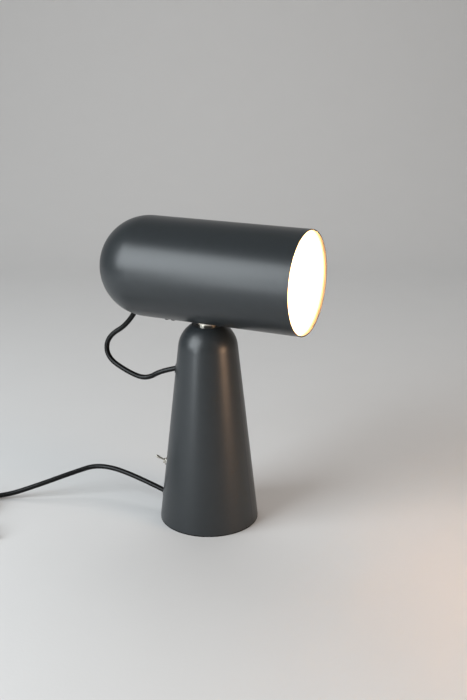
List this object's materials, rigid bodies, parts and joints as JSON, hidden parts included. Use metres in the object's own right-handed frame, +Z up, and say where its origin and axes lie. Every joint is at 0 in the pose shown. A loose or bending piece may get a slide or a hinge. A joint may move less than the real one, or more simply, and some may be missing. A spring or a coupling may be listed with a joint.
{
  "type": "desk lamp",
  "caption": "Compact desk lamp: a bullet-shaped metal shade that swivels on a tapered round stand, with a toggle switch and a corded plug.",
  "frame": {"origin": "centre of the underside of the foot, on the table", "axes": "+Z up along the swivel axis, +X from the shade's closed back towards its open mouth, +Y to the lamp's left"},
  "size_m": [0.4224, 0.2375, 0.3453],
  "materials": {
    "charcoal_powder_coat": "satin powder coat, charcoal",
    "black_foam": "closed-cell foam, matte",
    "zinc_sheet": "zinc-plated sheet steel",
    "raw_iron": "as cast, dipped",
    "zinc_hardware": "zinc-plated steel",
    "nickel": "bright nickel plate",
    "white_nylon": "moulded nylon",
    "spring_steel": "spring steel",
    "black_screw": "blackened steel",
    "black_plastic": "moulded, fine matte",
    "ceramic": "glazed ceramic",
    "brass": "stamped brass",
    "black_glass": "black insulating glass",
    "opal_glass": "opal, lit",
    "red_plastic": "moulded phenolic",
    "black_rubber": "moulded rubber",
    "black_cord": "round flexible cord sheath",
    "black_tie": "thin plastic band",
    "blue_core": "single-core insulation",
    "brown_core": "single-core insulation"
  },
  "bodies": {
    "stand": {"stand_shell": "charcoal_powder_coat", "foot_pad": "black_foam", "bottom_cover": "zinc_sheet", "ballast_disc": "raw_iron", "cover_screws": "zinc_hardware", "stand_washer": "zinc_hardware", "pivot_bolt": "zinc_hardware", "pivot_collar": "nickel", "stop_washer": "zinc_hardware", "wave_washer": "spring_steel", "lock_nut": "zinc_hardware", "switch_back_washer": "nickel", "switch_washer": "nickel", "switch_nut": "nickel", "switch_frame": "zinc_sheet", "switch_bushing": "nickel", "switch_case": "red_plastic", "switch_terminals": "brass", "loop_grommet": "black_rubber", "mains_grommet": "black_rubber", "loop_cord_grip": "black_plastic", "mains_cord_grip": "black_plastic", "loop_lead": "black_cord", "mains_lead": "black_cord", "mains_coil": "black_cord", "coil_tie": "black_tie", "plug_boot": "black_rubber", "plug_body": "black_plastic", "plug_pins": "nickel", "terminal_block": "white_nylon", "terminal_screws": "brass", "core_mains_neutral": "blue_core", "core_loop_neutral": "blue_core", "core_mains_live": "brown_core", "core_switched": "brown_core", "core_loop_live": "brown_core"},
    "shade": {"saddle_washer": "nickel", "saddle_plate": "zinc_hardware", "stop_pins": "zinc_hardware", "friction_washer": "white_nylon", "shade_shell": "charcoal_powder_coat", "holder_bracket": "zinc_sheet", "bracket_screws": "black_screw", "bracket_nuts": "zinc_hardware", "holder_nipple": "zinc_hardware", "nipple_nut": "zinc_hardware", "holder_cap": "black_plastic", "holder_insert": "ceramic", "centre_contact": "brass", "screw_shell": "brass", "holder_skirt": "black_plastic", "bulb_cap": "nickel", "bulb_contact": "black_glass", "bulb_glass": "opal_glass", "shade_grommet": "black_rubber", "shade_cord_grip": "black_plastic", "core_shade_neutral": "blue_core", "core_shade_live": "brown_core"},
    "lever": {"switch_lever": "nickel"},
    "rocker": {"switch_rocker": "brass"}
  },
  "joints": [
    {"name": "shade_swivel", "type": "hinge", "parent": "stand", "child": "shade", "pos_m": [0, 0, 0.2893], "axis": [0, 0, 1], "range_deg": [-80, 80], "deforming": ["loop_lead"]},
    {"name": "lever_throw", "type": "hinge", "parent": "stand", "child": "lever", "pos_m": [-0.0508, -0.00896, 0.06122], "axis": [-0.1736, 0.9848, 0], "range_deg": [-34, 0]},
    {"name": "rocker_tilt", "type": "hinge", "parent": "stand", "child": "rocker", "pos_m": [-0.04092, -0.00721, 0.06009], "axis": [-0.1736, 0.9848, 0], "range_deg": [-0.5, 20.5]}
  ],
  "couplings": [
    {"joint": "rocker_tilt", "follows": "lever_throw", "ratio": -0.58823}
  ]
}
